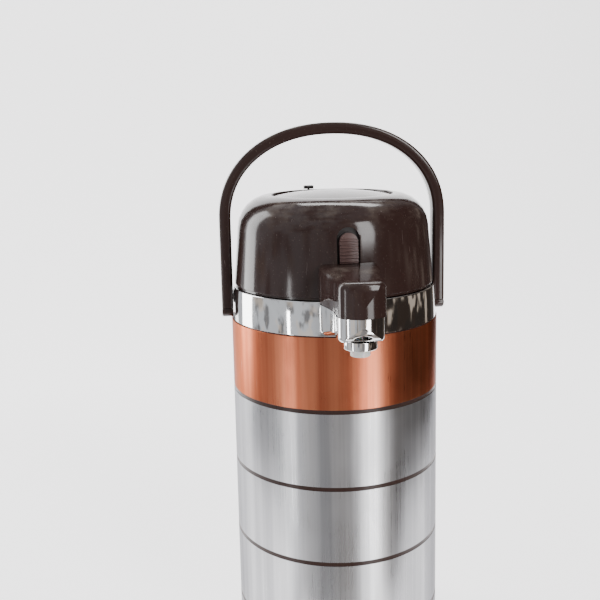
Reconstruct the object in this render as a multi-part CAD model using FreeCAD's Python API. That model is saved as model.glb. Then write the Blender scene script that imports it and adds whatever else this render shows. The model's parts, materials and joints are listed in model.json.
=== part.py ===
import FreeCAD, Part
import math
import os

# Thermal coffee airpot, millimetres.
# Origin: on the pot's axis, in the plane the base stands on. +Z up, the spout points along -Y.

# driving dimensions: the pot
CASING_R = 77.5
CASING_WALL = 0.8
CASING_BOTTOM = 15.0
CASING_TOP = 263.2
COLLAR_BOTTOM = 263.6
COLLAR_TOP = 287.3
COLLAR_BOTTOM_R = 76.9
COLLAR_TOP_R = 75.5
COLLAR_WALL = 2.5
COLLAR_FLAT_X = 75.2
SHOULDER_TOP = 286.5
MOUTH_R = 52.0
NECK_R = 25.4
FLASK_R = 66.0
FLASK_BOTTOM = 16.0
FLASK_TOP = 262.0
GLASS = 2.0
VACUUM_GAP = 4.0
FLASK_BEND = 36.0
NECK_HEIGHT = 12.0

# driving dimensions: the spout
SPOUT_HALF = 15.0
SPOUT_ROOT_HALF = 20.5
CUP_BACK = 101.0
CUP_FRONT = 125.5
CHIN_TOP = 286.2
CUP_BOTTOM = 270.5
NOZZLE_Y = 111.0
PIPE_Z = 278.0
PIPE_R = 4.5
PIPE_BORE = 3.0
TIP_BOTTOM = 260.0
TIP_R = 6.4
OUTLET_R = 3.5

# driving dimensions: the lid
LID_BOTTOM = 287.8
LID_BOTTOM_R = 74.7
LID_EDGE_R = 71.1
LID_EDGE_Z = 331.7
DECK_R = 47.5
DECK_Z = 354.4
LID_CORNER_MID = (63.6, 347.5)
LID_WALL = 2.5
WELL_R = 45.2
WELL_BOTTOM = 309.0
UNDERPLATE_BOTTOM = 288.2
UNDERPLATE_TOP = 291.2
HOOD_BOTTOM = 287.0
HOOD_ROOT_TOP = 312.5
HOOD_FRONT_TOP = 309.0
HOOD_FRONT = 128.0
HINGE_Y = 80.0
HINGE_Z = 286.0

# driving dimensions: what moves
PLATE_R = 43.6
PLATE_TOP = 357.0
BELLOWS_R = 34.0
BELLOWS_BOTTOM = 296.0
BELLOWS_TOP = 340.0
LATCH_HALF = 6.25
LATCH_BOTTOM = 312.9
LATCH_TOP = 333.1
LOCK_R = 50.0
LOCK_ANGLE = 13.6
HANDLE_PIVOT_Z = 279.5
HANDLE_IN = 76.2
HANDLE_OUT = 84.8
HANDLE_HALF_DEPTH = 6.5
HANDLE_BOTTOM = 264.3
HANDLE_BEND_Z = 336.8
HANDLE_TOP = 406.8
HANDLE_POWER = 2.15
PIVOT_R = 2.5
RUNNING = 0.05

X_AXIS = FreeCAD.Vector(1, 0, 0)
Y_AXIS = FreeCAD.Vector(0, 1, 0)
Z_AXIS = FreeCAD.Vector(0, 0, 1)
ORIGIN = FreeCAD.Vector(0, 0, 0)


# helpers

def point(x, y, z):
    return FreeCAD.Vector(x, y, z)


def outline(place, start, steps):
    """A closed wire. A step is an end point, or a pair (middle, end) for an arc."""
    edges = []
    here = start
    for step in list(steps) + [start]:
        if isinstance(step[0], tuple):
            middle, end = step
            edges.append(Part.Arc(place(*here), place(*middle), place(*end)).toShape())
        else:
            end = step
            if end != here:
                edges.append(Part.makeLine(place(*here), place(*end)))
        here = end
    return Part.Wire(edges)


def turned(start, *steps):
    """A solid of revolution about Z from an outline in radius and height."""
    wire = outline(lambda r, z: point(r, 0, z), start, steps)
    return Part.Face(wire).revolve(ORIGIN, Z_AXIS, 360)


def side_slab(half, start, *steps):
    """A slab across X from -half to half, from an outline in forward distance and height."""
    wire = outline(lambda y, z: point(-half, -y, z), start, steps)
    return Part.Face(wire).extrude(point(2 * half, 0, 0))


def plan_slab(low, high, start, *steps):
    """A slab from low to high, from an outline in X and forward distance."""
    wire = outline(lambda x, y: point(x, -y, low), start, steps)
    return Part.Face(wire).extrude(point(0, 0, high - low))


def ring(inner, outer, low, high):
    return tube(point(0, 0, low), Z_AXIS, inner, outer, high - low)


def rod(start, axis, radius, length):
    return Part.makeCylinder(radius, length, start, axis)


def tube(start, axis, inner, outer, length):
    body = rod(start, axis, outer, length)
    return body.cut(rod(start, axis, inner, length)) if inner > 0 else body


def box(low, high):
    size = [b - a for a, b in zip(low, high)]
    return Part.makeBox(size[0], size[1], size[2], point(*low))


def around(shape, count, first=0.0):
    """Copies of a shape, evenly spaced about Z."""
    copies = []
    for index in range(count):
        copy = shape.copy()
        copy.rotate(ORIGIN, Z_AXIS, first + index * 360.0 / count)
        copies.append(copy)
    return copies


def both_sides(shape):
    """The shape and its mirror image across the plane X = 0."""
    return [shape, shape.mirror(ORIGIN, X_AXIS)]


def coil(radius, wire_radius, low, high, turns, centre=(0.0, 0.0)):
    """A helical spring that stands along Z."""
    first = low + wire_radius
    height = high - low - 2 * wire_radius
    path = Part.makeHelix(height / turns, height, radius)
    section = Part.Wire(Part.makeCircle(wire_radius, point(radius, 0, 0), Y_AXIS))
    spring = Part.Wire(path.Edges).makePipeShell([section], True, True)
    spring.translate(point(centre[0], centre[1], first))
    return spring


def pipe(radius, stretches):
    """A round bar along straight stretches and quarter bends, given as a wire's edges."""
    path = Part.Wire(stretches)
    start = stretches[0].Vertexes[0].Point
    section = Part.Wire(Part.makeCircle(radius, start, Z_AXIS))
    return path.makePipeShell([section], True, True)


# the pot's body

def base_ring():
    """The plastic ring the pot stands on; the casing's lower edge sits on its ledge."""
    body = turned((70.3, 0.0), (75.5, 0.0), ((76.9, 0.6), (CASING_R, 2.0)), (CASING_R, CASING_BOTTOM),
                  (CASING_R - CASING_WALL, CASING_BOTTOM), (CASING_R - CASING_WALL, 24.0), (73.5, 24.0),
                  (73.5, 9.0), (62.0, 9.0), (62.0, 3.2), (70.3, 3.2))
    for hole in around(rod(point(66, 0, 3.2), Z_AXIS, 1.5, 5.8), 4, 45):
        body = body.cut(hole)
    return body


def base_plate():
    """The round plate that closes the bottom, flush with the foot, and carries the flask."""
    body = turned((0.0, 0.0), (69.6, 0.0), (70.0, 0.4), (70.0, 3.2), (40.0, 3.2), (40.0, 8.0), (37.0, 8.0),
                  (37.0, 3.2), (0.0, 3.2))
    for hole in around(rod(point(66, 0, 0), Z_AXIS, 1.8, 3.2), 4, 45):
        body = body.cut(hole)
    for recess in around(rod(point(66, 0, 0), Z_AXIS, 3.4, 2.0), 4, 45):
        body = body.cut(recess)
    return body


def base_screws():
    head = rod(point(66, 0, 0.4), Z_AXIS, 3.0, 1.6)
    shank = rod(point(66, 0, 2.0), Z_AXIS, 1.5, 7.0)
    slot = box((63.5, -0.4, 0.4), (68.5, 0.4, 1.0))
    return Part.makeCompound(around(head.fuse(shank).cut(slot), 4, 45))


def flask_cushion():
    """A rubber cup that holds the rounded bottom of the flask."""
    cup = ring(0.0, 37.0, 3.2, 24.0)
    floor_r = FLASK_R - FLASK_BEND
    side_low = FLASK_BOTTOM + FLASK_BEND
    middle = (bend_middle(floor_r, FLASK_R), side_low - bend_middle(0, FLASK_BEND))
    flask = turned((0.0, FLASK_BOTTOM), (floor_r, FLASK_BOTTOM), (middle, (FLASK_R, side_low)),
                   (0.0, side_low))
    return cup.cut(flask)


def casing():
    """The thin metal tube around the pot."""
    return ring(CASING_R - CASING_WALL, CASING_R, CASING_BOTTOM, CASING_TOP)


def bend_middle(inner, outer):
    """How far along a quarter bend's square its middle lies, from the first value to the second."""
    return inner + (outer - inner) * math.sqrt(0.5)


def flask_wall(radius, wall, bottom, neck, shoulder_high):
    """A thin bottle: rounded bottom, straight side, rounded shoulder, plain neck up to the flask's top."""
    floor_r = radius - FLASK_BEND
    side_low = bottom + FLASK_BEND
    rise = radius - neck
    side_high = shoulder_high - rise
    inner = radius - wall
    inner_neck = neck - wall
    return turned((0.0, bottom), (floor_r, bottom),
                  ((bend_middle(floor_r, radius), side_low - bend_middle(0, FLASK_BEND)), (radius, side_low)),
                  (radius, side_high),
                  ((bend_middle(neck, radius), side_high + bend_middle(0, rise)), (neck, shoulder_high)),
                  (neck, FLASK_TOP), (inner_neck, FLASK_TOP), (inner_neck, shoulder_high - wall),
                  ((bend_middle(inner_neck, inner), side_high - wall + bend_middle(0, rise)),
                   (inner, side_high - wall)),
                  (inner, side_low),
                  ((bend_middle(floor_r, inner), side_low - bend_middle(0, FLASK_BEND - wall)),
                   (floor_r, bottom + wall)),
                  (0.0, bottom + wall))


def outer_flask():
    """The outer glass of the vacuum flask."""
    return flask_wall(FLASK_R, GLASS, FLASK_BOTTOM, NECK_R + 2 * GLASS + VACUUM_GAP / 2,
                      FLASK_TOP - NECK_HEIGHT)


def inner_flask():
    """The inner glass, joined to the outer one by its rim."""
    inset = GLASS + VACUUM_GAP
    glass = flask_wall(FLASK_R - inset, GLASS, FLASK_BOTTOM + inset, NECK_R + GLASS,
                       FLASK_TOP - NECK_HEIGHT - inset)
    rim = ring(NECK_R + GLASS, NECK_R + GLASS + VACUUM_GAP / 2, FLASK_TOP - 3.0, FLASK_TOP)
    return glass.fuse(rim).removeSplitter()


def neck_packing():
    """The rubber ring between the flask's neck and the shoulder."""
    outside = NECK_R + 2 * GLASS + VACUUM_GAP / 2
    return turned((NECK_R - 0.6, FLASK_TOP), (outside, FLASK_TOP), (outside, 256.0), (outside + 2.5, 256.0),
                  (outside + 2.5, 264.5), (NECK_R - 0.6, 264.5))


def shoulder_ring():
    """The plastic mouth of the pot: funnel, seal wall and deck, with a skirt inside the casing."""
    body = turned((26.0, 264.5), (72.0, 264.5), (72.0, 250.0), (CASING_R - CASING_WALL, 250.0),
                  (CASING_R - CASING_WALL, COLLAR_BOTTOM), (73.9, COLLAR_BOTTOM), (73.9, 267.0),
                  (MOUTH_R, 267.0), (MOUTH_R, 284.0), (72.8, 284.0), (72.8, SHOULDER_TOP),
                  (49.6, SHOULDER_TOP), (49.6, 269.6), ((48.8, 267.8), (47.0, 267.0)), (26.0, 267.0))
    pipe_hole = rod(point(0, 0, PIPE_Z), -Y_AXIS, 6.5, 60)
    latch_slot = box((-7.0, -71.5, 283.0), (7.0, -62.0, SHOULDER_TOP + 1))
    return body.cut(pipe_hole).cut(latch_slot)


def collar_radius(z):
    share = (z - COLLAR_BOTTOM) / (COLLAR_TOP - COLLAR_BOTTOM)
    return COLLAR_BOTTOM_R + share * (COLLAR_TOP_R - COLLAR_BOTTOM_R)


def chrome_collar():
    """The bright collar, slightly tapered, with a flat on each side for the handle."""
    body = turned((COLLAR_BOTTOM_R - COLLAR_WALL, COLLAR_BOTTOM), (COLLAR_BOTTOM_R, COLLAR_BOTTOM),
                  (collar_radius(286.5), 286.5), (COLLAR_TOP_R - 0.7, COLLAR_TOP), (73.4, COLLAR_TOP),
                  (72.8, 286.8), (72.8, 285.0), (COLLAR_TOP_R - COLLAR_WALL, 285.0))
    for side in (-1, 1):
        low = min(side * COLLAR_FLAT_X, side * 90.0)
        body = body.cut(box((low, -30, COLLAR_BOTTOM - 1), (low + 90.0 - COLLAR_FLAT_X, 30, COLLAR_TOP + 1)))
    window = box((-12.0, -90.0, 269.0), (12.0, -60.0, 284.0))
    pin_holes = rod(point(-90, 0, HANDLE_PIVOT_Z), X_AXIS, PIVOT_R, 180)
    return body.cut(window).cut(pin_holes)


def handle_bosses():
    """Blocks inside the collar that take the handle's pivot pins."""
    block = box((66.0, -8.0, 270.0), (72.6, 8.0, 283.8))
    round_limit = ring(60.0, 72.6, 269.0, 285.0)
    hole = rod(point(60, 0, HANDLE_PIVOT_Z), X_AXIS, PIVOT_R, 30)
    return Part.makeCompound(both_sides(block.common(round_limit).cut(hole)))


def handle_pins():
    """The two pivot pins, pressed into the bosses; the handle turns on their outer ends."""
    pin = rod(point(66.4, 0, HANDLE_PIVOT_Z), X_AXIS, PIVOT_R, 15.6)
    return Part.makeCompound(both_sides(pin.makeChamfer(0.3, pin.Edges[:1] + pin.Edges[2:])))


def handle_washers():
    washer = tube(point(COLLAR_FLAT_X, 0, HANDLE_PIVOT_Z), X_AXIS, PIVOT_R, 5.0, 0.7)
    return Part.makeCompound(both_sides(washer))


# the fixed half of the spout

def spout_plan(low, high, back, front, inset):
    """The spout seen from above: wide at the root, straight sides, a bowed front."""
    half = SPOUT_HALF - inset
    root = SPOUT_ROOT_HALF - inset
    tip = front - inset
    return plan_slab(low, high, (-root, back), ((-half - 1.6 * (root - half) / 5.5, 88.0), (-half, CUP_BACK)),
                     (-half, tip - 8.0), ((-half + 1.9, tip - 4.2), (-half + 5.5, tip - 1.6)),
                     ((0.0, tip), (half - 5.5, tip - 1.6)), ((half - 1.9, tip - 4.2), (half, tip - 8.0)),
                     (half, CUP_BACK), ((half + 1.6 * (root - half) / 5.5, 88.0), (root, back)))


def spout_shell():
    """The chrome trough from the collar to the front of the nozzle."""
    outside = spout_plan(260.0, CHIN_TOP, 70.0, CUP_FRONT, 0.0)
    under = side_slab(30.0, (60.0, 265.4), (80.0, 265.4), ((88.0, 267.4), (97.0, CUP_BOTTOM)),
                      (CUP_FRONT - 5.0, CUP_BOTTOM),
                      ((CUP_FRONT - 1.4, CUP_BOTTOM + 1.5), (CUP_FRONT, CUP_BOTTOM + 5.0)),
                      (CUP_FRONT + 3.0, 300.0), (60.0, 300.0))
    inside = spout_plan(260.0, CHIN_TOP + 1, 66.0, CUP_FRONT, 1.8)
    inner_under = side_slab(30.0, (60.0, 267.4), (80.0, 267.4), ((88.0, 269.4), (97.0, CUP_BOTTOM + 1.8)),
                            (CUP_FRONT - 5.0, CUP_BOTTOM + 1.8), (CUP_FRONT, CUP_BOTTOM + 5.0),
                            (CUP_FRONT, 300.0),
                            (60.0, 300.0))
    return outside.common(under).cut(inside.common(inner_under))


def spout_chin():
    collar_side = Part.makeCone(COLLAR_BOTTOM_R, COLLAR_TOP_R, COLLAR_TOP - COLLAR_BOTTOM,
                                point(0, 0, COLLAR_BOTTOM), Z_AXIS)
    back_part = box((-40, -CUP_BACK, 255), (40, 0, 300))
    return spout_shell().common(back_part).cut(collar_side)


def nozzle_cup():
    """The front of the trough, a cup around the outlet."""
    front_part = box((-40, -140, 255), (40, -CUP_BACK, 300))
    tip_hole = rod(point(0, -NOZZLE_Y, 255), Z_AXIS, TIP_R, 30)
    return spout_shell().common(front_part).cut(tip_hole)


def nozzle_ring():
    body = turned((TIP_R, 264.8), (10.2, 264.8), ((10.75, 265.05), (11.0, 265.6)), (11.0, CUP_BOTTOM),
                  (TIP_R, CUP_BOTTOM))
    body.translate(point(0, -NOZZLE_Y, 0))
    return body


def nozzle_tip():
    """The white outlet; the delivery pipe ends in its socket."""
    body = turned((OUTLET_R, TIP_BOTTOM), (TIP_R - 0.6, TIP_BOTTOM), (TIP_R, TIP_BOTTOM + 0.6),
                  (TIP_R, 269.0),
                  (PIPE_R, 269.0), (PIPE_R, 266.0), (OUTLET_R, 266.0))
    body.translate(point(0, -NOZZLE_Y, 0))
    return body


def pipe_path(bend, low, outlet):
    """From the mouth up, forward along the spout and down into the outlet."""
    arm = bend * math.sqrt(0.5)
    first = Part.Arc(point(0, 0, PIPE_Z - bend), point(0, arm - bend, PIPE_Z - bend + arm),
                     point(0, -bend, PIPE_Z))
    last = Part.Arc(point(0, -NOZZLE_Y + bend, PIPE_Z), point(0, -NOZZLE_Y + bend - arm, PIPE_Z - bend + arm),
                    point(0, -NOZZLE_Y, PIPE_Z - bend))
    return [Part.makeLine(point(0, 0, low), point(0, 0, PIPE_Z - bend)),
            first.toShape(),
            Part.makeLine(point(0, -bend, PIPE_Z), point(0, -NOZZLE_Y + bend, PIPE_Z)),
            last.toShape(),
            Part.makeLine(point(0, -NOZZLE_Y, PIPE_Z - bend), point(0, -NOZZLE_Y, outlet))]


def delivery_pipe():
    path = pipe_path(9.0, 256.0, 266.0)
    return pipe(PIPE_R, path).cut(pipe(PIPE_BORE, path))


def dip_tube():
    """The riser that reaches down into the flask and grips the lower end of the pipe."""
    body = turned((PIPE_BORE, 34.0), (PIPE_R, 34.0), (PIPE_R, 250.0), (PIPE_R + 1.3, 253.0),
                  (PIPE_R + 1.3, 268.0),
                  (PIPE_R, 268.0), (PIPE_R, 256.0), (PIPE_BORE, 256.0))
    notch = box((-10.0, -1.5, 33.0), (10.0, 1.5, 38.0))
    return body.cut(notch)


def pipe_grommet():
    """The rubber seal where the pipe leaves the mouth."""
    flange_in = tube(point(0, -47.6, PIPE_Z), -Y_AXIS, PIPE_R, 7.8, 1.5)
    neck = tube(point(0, -49.1, PIPE_Z), -Y_AXIS, PIPE_R, 6.5, 3.4)
    flange_out = tube(point(0, -52.5, PIPE_Z), -Y_AXIS, PIPE_R, 7.8, 1.5)
    return flange_in.fuse(neck).fuse(flange_out).cut(shoulder_ring())


# the hinge at the back

def hinge_bracket():
    """Two ears on the back of the collar."""
    ear = side_slab(3.0, (-74.0, 281.0), (-77.0, 280.0), (-80.0, 282.0), ((-84.0, 286.0), (-80.0, 290.0)),
                    ((-77.2, 288.8), (-76.0, 286.0)), (-74.0, 285.6))
    ear = ear.cut(rod(point(-10, HINGE_Y, HINGE_Z), X_AXIS, 1.5, 20))
    collar_side = Part.makeCone(COLLAR_BOTTOM_R, COLLAR_TOP_R, COLLAR_TOP - COLLAR_BOTTOM,
                                point(0, 0, COLLAR_BOTTOM), Z_AXIS)
    plate = box((-20.0, 74.0, 268.0),
                (20.0, 77.6, 281.5)).fuse(box((-14.0, 75.0, 281.0), (14.0, 77.6, 282.0)))
    pieces = [plate]
    for side in (-1, 1):
        copy = ear.copy()
        copy.translate(point(side * 15.0, 0, 0))
        pieces.append(copy)
    bracket = pieces[0].multiFuse(pieces[1:])
    return bracket.cut(collar_side).removeSplitter()


def hinge_pin():
    return rod(point(-18.0, HINGE_Y, HINGE_Z), X_AXIS, 1.5, 36.0)


# the lid

def lid_profile(inset):
    """The outer curve of the lid moved inwards, from the bottom edge to the rim of the well."""
    foot = (LID_BOTTOM_R - inset, LID_BOTTOM)
    edge = (LID_EDGE_R - inset, LID_EDGE_Z)
    corner = (LID_CORNER_MID[0] - 0.72 * inset, LID_CORNER_MID[1] - 0.7 * inset)
    deck = (DECK_R - 0.05 * inset, DECK_Z - inset)
    return foot, edge, corner, deck


def latch_arch(half, low, high, back, front):
    """An upright slab with a round top."""
    flat_top = high - half
    wire = outline(lambda x, z: point(x, -back, z), (-half, low),
                   [(half, low), (half, flat_top), ((0.0, high), (-half, flat_top))])
    return Part.Face(wire).extrude(point(0, back - front, 0))


def lid_shell():
    foot, edge, corner, deck = lid_profile(0.0)
    foot_in, edge_in, corner_in, deck_in = lid_profile(LID_WALL)
    body = turned(foot, edge, (corner, deck), (WELL_R + 0.8, DECK_Z + 0.05),
                  ((WELL_R + 0.2, DECK_Z - 0.2), (WELL_R, DECK_Z - 0.8)), (WELL_R, 343.0),
                  (WELL_R - 1.0, 342.6),
                  (WELL_R - 1.0, 341.0), (WELL_R, 341.0), (WELL_R, WELL_BOTTOM), (DECK_R, WELL_BOTTOM),
                  (DECK_R, deck_in[1]), (corner_in, edge_in), foot_in)
    bosses = around(rod(point(66.5, 0, UNDERPLATE_TOP), Z_AXIS, 5.0, 20.0), 4, 45)
    outer_cone = turned(foot, edge, (0.0, LID_EDGE_Z), (0.0, LID_BOTTOM))
    for boss in bosses:
        body = body.fuse(boss.common(outer_cone))
    for hole in around(rod(point(66.5, 0, UNDERPLATE_TOP), Z_AXIS, 1.5, 14.0), 4, 45):
        body = body.cut(hole)
    body = body.cut(latch_arch(LATCH_HALF + 1.6, LATCH_BOTTOM - 1.4, LATCH_TOP + 3.6, 60.0, 90.0))
    body = body.cut(side_slab(16.0, (69.0, 280.0), (80.0, 280.0), (80.0, 306.0), (69.0, 306.0)))
    slot = ring(LOCK_R - 1.2, LOCK_R + 1.2, 345.0, 360.0)
    wedge = plan_slab(345.0, 360.0, (0.0, 0.0), (-20.0, -66.0), (20.0, -66.0))
    body = body.cut(slot.common(wedge))
    knuckle_gap = box((-12.2, 71.0, 286.0), (12.2, 80.0, UNDERPLATE_TOP))
    return body.cut(knuckle_gap).removeSplitter()


def spout_hood():
    """The brown upper half of the spout, part of the lid."""
    outside = spout_plan(HOOD_BOTTOM, 330.0, 66.0, HOOD_FRONT, 0.0)
    over = side_slab(30.0, (60.0, 280.0), (140.0, 280.0), (140.0, HOOD_FRONT_TOP - 4.5),
                     (HOOD_FRONT, HOOD_FRONT_TOP - 4.5), ((HOOD_FRONT - 1.3, HOOD_FRONT_TOP - 1.2),
                     (HOOD_FRONT - 4.5, HOOD_FRONT_TOP)), (108.0, 310.4), (76.0, HOOD_ROOT_TOP),
                     (60.0, HOOD_ROOT_TOP + 1.0))
    solid = outside.common(over)
    top_corner = outline(lambda x, z: point(x, 0, z), (-SPOUT_ROOT_HALF, 270.0),
                         [(SPOUT_ROOT_HALF, 270.0), (SPOUT_ROOT_HALF, 308.0), ((19.2, 311.2), (16.0, 312.6)),
                          (-16.0, 312.6), ((-19.2, 311.2), (-SPOUT_ROOT_HALF, 308.0))])
    solid = solid.common(Part.Face(top_corner).extrude(point(0, -150, 0)))
    inside = spout_plan(HOOD_BOTTOM - 1, 330.0, 60.0, HOOD_FRONT, 2.2)
    under = side_slab(30.0, (56.0, 280.0), (HOOD_FRONT - 2.2, 280.0),
                      (HOOD_FRONT - 2.2, HOOD_FRONT_TOP - 5.0),
                      (HOOD_FRONT - 5.0, HOOD_FRONT_TOP - 2.2), (76.0, HOOD_ROOT_TOP - 2.2),
                      (56.0, HOOD_ROOT_TOP - 2.2))
    lean = (LID_BOTTOM_R - LID_EDGE_R) / (LID_EDGE_Z - LID_BOTTOM)
    lid_side = turned((0.0, LID_BOTTOM - 5), (LID_BOTTOM_R + 5 * lean, LID_BOTTOM - 5),
                      (LID_EDGE_R, LID_EDGE_Z),
                      (0.0, LID_EDGE_Z))
    seam = ring(60.0, COLLAR_TOP_R + 0.5, HOOD_BOTTOM - 1, LID_BOTTOM)
    return solid.cut(inside.common(under)).cut(lid_side).cut(seam)


def lid_underplate():
    """The plate that closes the lid from below."""
    body = turned((0.0, UNDERPLATE_BOTTOM), (71.6, UNDERPLATE_BOTTOM), (71.6, UNDERPLATE_TOP),
                  (38.4, UNDERPLATE_TOP),
                  (38.4, 294.0), (36.4, 294.0), (36.4, UNDERPLATE_TOP), (0.0, UNDERPLATE_TOP))
    for hole in around(rod(point(66.5, 0, 280), Z_AXIS, 1.8, 20), 4, 45):
        body = body.cut(hole)
    for air_hole in around(rod(point(4.5, 0, 280), Z_AXIS, 1.2, 20), 6):
        body = body.cut(air_hole)
    hook_slot = box((-6.0, -74.0, 280.0), (6.0, -63.0, 300.0))
    flap_hole = rod(ORIGIN + point(0, 0, 280), Z_AXIS, 1.2, 20)
    return body.cut(hook_slot).cut(flap_hole)


def lid_gasket():
    return turned((48.6, UNDERPLATE_BOTTOM), (48.6, 287.2), ((49.0, 286.9), (49.4, 286.8)), (53.0, 286.8),
                  ((53.4, 286.9), (53.8, 287.2)), (53.8, UNDERPLATE_BOTTOM))


def lid_screws():
    head = rod(point(66.5, 0, UNDERPLATE_BOTTOM - 1.0), Z_AXIS, 2.8, 1.0)
    shank = rod(point(66.5, 0, UNDERPLATE_BOTTOM), Z_AXIS, 1.5, 14.0)
    slot = box((64.0, -0.35, UNDERPLATE_BOTTOM - 1.0), (69.0, 0.35, UNDERPLATE_BOTTOM - 0.5))
    return Part.makeCompound(around(head.fuse(shank).cut(slot), 4, 45))


def air_valve():
    """A rubber flap that lets the pumped air down and holds it there."""
    return turned((0.0, 286.9), (7.0, 286.9), (7.2, UNDERPLATE_BOTTOM), (0.0, UNDERPLATE_BOTTOM)).fuse(
        rod(point(0, 0, UNDERPLATE_BOTTOM), Z_AXIS, 1.2, 4.0)).fuse(
        rod(point(0, 0, UNDERPLATE_TOP), Z_AXIS, 2.2, 1.6))


def bellows_base():
    """The clamp ring that holds the lower end of the bellows on the underplate."""
    return turned((30.6, UNDERPLATE_TOP), (36.4, UNDERPLATE_TOP), (36.4, BELLOWS_BOTTOM),
                  (30.6, BELLOWS_BOTTOM))


def lid_knuckle():
    """The lid's half of the hinge, between the ears."""
    arm = side_slab(11.6, (-70.0, UNDERPLATE_TOP), (-73.4, UNDERPLATE_TOP), (-80.0, 290.0),
                    ((-84.0, 286.0), (-80.0, 282.0)),
                    ((-77.0, 284.2), (-76.6, 288.4)), (-70.0, 288.4))
    body = arm.cut(rod(point(-20, HINGE_Y, HINGE_Z), X_AXIS, 1.5 + RUNNING, 40))
    step = turned((60.0, 285.0), (71.6, 285.0), (71.6, UNDERPLATE_TOP), (60.0, UNDERPLATE_TOP))
    return body.cut(step)


def latch_frame():
    """The guide behind the latch; it fills the opening in the lid behind the thumb piece."""
    plate = box((-11.0, -67.6, 309.0), (11.0, -65.6, 338.6))
    shelf = box((-5.0, -65.6, 322.0), (5.0, -60.0, 324.0))
    slot = box((-3.2, -68.0, 298.0), (3.2, -65.0, 320.2))
    return plate.fuse(shelf).cut(slot).cut(lid_shell()).removeSplitter()


# the parts that move in the lid

def push_plate():
    """The round pump button: domed top, skirt, and a lip that keeps it in the well."""
    return turned((0.0, PLATE_TOP - 3.0), (0.0, PLATE_TOP),
                  ((22.0, PLATE_TOP - 0.6), (PLATE_R - 1.4, PLATE_TOP - 2.5)),
                  ((PLATE_R - 0.4, PLATE_TOP - 3.0), (PLATE_R, PLATE_TOP - 4.0)), (PLATE_R, 340.4),
                  (WELL_R - 0.4, 340.4),
                  (WELL_R - 0.4, 338.4), (PLATE_R - 2.4, 338.4), (PLATE_R - 2.4, PLATE_TOP - 6.0),
                  (12.0, PLATE_TOP - 3.2), (12.0, 343.6), (9.8, 343.6), (9.8, PLATE_TOP - 3.0))


def bellows_head():
    """The disc that joins the top of the bellows to the push plate."""
    return turned((3.0, BELLOWS_TOP), (31.0, BELLOWS_TOP), (31.0, 342.6), (18.0, 343.6), (3.0, 343.6))


def intake_pad():
    """The rubber pad that closes the bellows' air hole as the plate goes down."""
    return turned((0.0, 343.6), (9.6, 343.6), (9.6, 345.4), (0.0, 345.4))


def bellows():
    """The pleated pump, wide folds and narrow folds in turn."""
    folds = 6
    pitch = (BELLOWS_TOP - BELLOWS_BOTTOM) / folds
    outer = []
    inner = []
    for index in range(folds):
        low = BELLOWS_BOTTOM + index * pitch
        outer += [(30.0, low), (BELLOWS_R, low + 0.5 * pitch)]
        inner += [(28.4, low), (BELLOWS_R - 1.6, low + 0.5 * pitch)]
    outer.append((30.0, BELLOWS_TOP))
    inner.append((28.4, BELLOWS_TOP))
    return turned(*(outer + inner[::-1]))


def bellows_spring():
    """The return spring, as the sleeve its coil fills."""
    return ring(15.1, 16.9, UNDERPLATE_TOP, BELLOWS_TOP)


def latch_slider():
    """The ribbed thumb piece on the front of the lid."""
    lean = math.degrees(math.atan((LID_BOTTOM_R - LID_EDGE_R) / (LID_EDGE_Z - LID_BOTTOM)))
    pad = latch_arch(LATCH_HALF, LATCH_BOTTOM, LATCH_TOP, 68.0, 74.2)
    rib_count = 7
    pitch = (LATCH_TOP - LATCH_BOTTOM - 5.0) / rib_count
    for index in range(rib_count):
        low = LATCH_BOTTOM + 1.2 + index * pitch
        pad = pad.cut(box((-LATCH_HALF + 0.9, -75.0, low), (LATCH_HALF - 0.9, -73.5, low + 0.9)))
    pad.rotate(point(0, -71.5, 0.5 * (LATCH_BOTTOM + LATCH_TOP)), X_AXIS, -lean)
    return pad.cut(box((-10, -67.9, 300), (10, -60, 340)))


def latch_hook():
    """The bar that runs from the thumb piece down to the collar."""
    bar = box((-2.8, -67.9, 300.0), (2.8, -61.6, 317.2))
    low_bar = box((-4.5, -67.9, 283.7), (4.5, -65.2, 300.0))
    nose = side_slab(4.5, (67.9, 283.7), (70.4, 285.2), (67.9, 286.6))
    return bar.fuse(low_bar).fuse(nose).removeSplitter()


def latch_spring():
    return coil(1.7, 0.3, 317.2, 322.0, 5, (0.0, -63.4))


def lock_knob():
    """The little knob on the deck that locks the push plate."""
    stem = rod(point(0, LOCK_R, 350.4), Z_AXIS, 0.9, 4.6)
    head = box((-4.0, LOCK_R - 2.4, 354.8), (4.0, LOCK_R + 2.4, 357.4))
    upright = [edge for edge in head.Edges if abs(edge.tangentAt(0).z) > 0.9]
    head = head.makeFillet(1.8, upright)
    top = [edge for edge in head.Edges if edge.BoundBox.ZMin > 357.3]
    knob = head.makeFillet(0.8, top).fuse(stem)
    knob.rotate(ORIGIN, Z_AXIS, LOCK_ANGLE)
    return knob


def lock_bolt():
    """The slider under the deck that the knob carries."""
    bolt = box((-6.0, LOCK_R - 1.8, 348.6), (6.0, LOCK_R + 4.0, 350.4))
    bolt.rotate(ORIGIN, Z_AXIS, LOCK_ANGLE)
    return bolt


# the handle

def handle_curve(half, top, places=8):
    """Points of a superellipse from the top of the right arm to the middle of the handle."""
    rise = top - HANDLE_BEND_Z
    spots = []
    for index in range(places):
        turn = 0.5 * math.pi * index / (places - 1)
        x = half * math.cos(turn) ** (2 / HANDLE_POWER)
        z = HANDLE_BEND_Z + rise * math.sin(turn) ** (2 / HANDLE_POWER)
        spots.append(point(x, 0, z))
    spots[-1] = point(0, 0, top)
    return spots


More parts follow.
